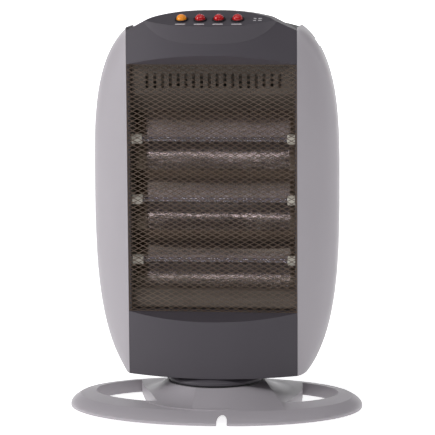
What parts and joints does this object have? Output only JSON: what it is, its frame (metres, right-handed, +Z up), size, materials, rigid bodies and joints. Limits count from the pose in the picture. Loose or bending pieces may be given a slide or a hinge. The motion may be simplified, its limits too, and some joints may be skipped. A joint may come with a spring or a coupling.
{
  "type": "halogen heater",
  "caption": "Oscillating halogen heater: quartz lamps in a polished reflector behind an expanded-metal guard, rocker switches on a domed top, swinging on an oval ring base.",
  "frame": {"origin": "on the floor under the swivel axis, at the centre of the oval base", "axes": "+Z up, the guard and the controls face -Y, +X is the viewer's right"},
  "size_m": [0.36, 0.24, 0.487],
  "materials": {
    "light_plastic": "satin light lavender-grey moulded plastic",
    "dark_plastic": "satin dark grey moulded plastic",
    "black_plastic": "matt black moulded plastic",
    "white_plastic": "natural white plastic",
    "red_rocker": "glossy translucent red",
    "orange_rocker": "glossy translucent orange",
    "steel": "zinc-plated sheet and bar",
    "guard_steel": "expanded metal, warm grey",
    "polished_aluminium": "bright rolled reflector sheet",
    "ceramic": "white steatite ceramic",
    "quartz": "clear quartz glass",
    "tungsten": "coiled tungsten wire",
    "rubber": "matt black rubber",
    "sleeve": "braided glass-fibre sleeving"
  },
  "bodies": {
    "base": {"base_ring": "light_plastic", "base_cover": "black_plastic", "foot_1": "rubber", "foot_2": "rubber", "foot_3": "rubber", "foot_4": "rubber", "slot_plate": "steel", "pivot_post": "steel", "pivot_washer": "steel", "pivot_nut": "steel", "slide_ring": "black_plastic", "tip_switch": "black_plastic"},
    "body": {"side_panel_left": "light_plastic", "side_panel_right": "light_plastic", "front_frame": "dark_plastic", "neck": "dark_plastic", "rear_housing": "black_plastic", "cord_bush": "black_plastic", "thermal_cutout": "black_plastic", "switch_body_1": "black_plastic", "switch_body_2": "black_plastic", "switch_body_3": "black_plastic", "switch_body_4": "black_plastic", "terminal_block": "white_plastic", "lamp_bracket_left": "steel", "lamp_bracket_right": "steel", "heat_shield": "steel", "chassis_plate": "steel", "swing_motor": "steel", "rear_screw_1": "steel", "rear_screw_2": "steel", "rear_screw_3": "steel", "rear_screw_4": "steel", "guard": "guard_steel", "reflector": "polished_aluminium", "lamp_tube_1": "quartz", "filament_1": "tungsten", "lamp_cap_left_1": "ceramic", "lamp_cap_right_1": "ceramic", "lamp_tube_2": "quartz", "filament_2": "tungsten", "lamp_cap_left_2": "ceramic", "lamp_cap_right_2": "ceramic", "lamp_tube_3": "quartz", "filament_3": "tungsten", "lamp_cap_left_3": "ceramic", "lamp_cap_right_3": "ceramic", "loom_left": "sleeve", "loom_right": "sleeve", "loom_supply": "sleeve"},
    "crank": {"crank": "steel"},
    "tip_plunger": {"tip_plunger": "white_plastic"},
    "rocker_1": {"rocker_1": "orange_rocker"},
    "rocker_2": {"rocker_2": "red_rocker"},
    "rocker_3": {"rocker_3": "red_rocker"},
    "rocker_4": {"rocker_4": "red_rocker"}
  },
  "joints": [
    {"name": "swivel", "type": "hinge", "parent": "base", "child": "body", "pos_m": [0, 0, 0], "axis": [0, 0, 1], "range_deg": [-35, 35]},
    {"name": "crank_turn", "type": "hinge", "parent": "body", "child": "crank", "pos_m": [0, -0.026, 0.04], "axis": [0, 0, 1], "range_deg": [-105, 105]},
    {"name": "rocker_tip_1", "type": "hinge", "parent": "body", "child": "rocker_1", "pos_m": [-0.0336, -0.04059, 0.47878], "axis": [1, 0, 0], "range_deg": [0, 16]},
    {"name": "rocker_tip_2", "type": "hinge", "parent": "body", "child": "rocker_2", "pos_m": [-0.0112, -0.04059, 0.47878], "axis": [1, 0, 0], "range_deg": [0, 16]},
    {"name": "rocker_tip_3", "type": "hinge", "parent": "body", "child": "rocker_3", "pos_m": [0.0112, -0.04059, 0.47878], "axis": [1, 0, 0], "range_deg": [0, 16]},
    {"name": "rocker_tip_4", "type": "hinge", "parent": "body", "child": "rocker_4", "pos_m": [0.0336, -0.04059, 0.47878], "axis": [1, 0, 0], "range_deg": [-16, 0]},
    {"name": "tip_plunger_slide", "type": "slide", "parent": "base", "child": "tip_plunger", "axis": [0, 0, -1], "range_m": [0, 0.004], "stiffness_N_per_m": 25, "springref_m": 0.006}
  ],
  "couplings": [
    {"joint": "crank_turn", "follows": "swivel", "ratio": -3}
  ]
}
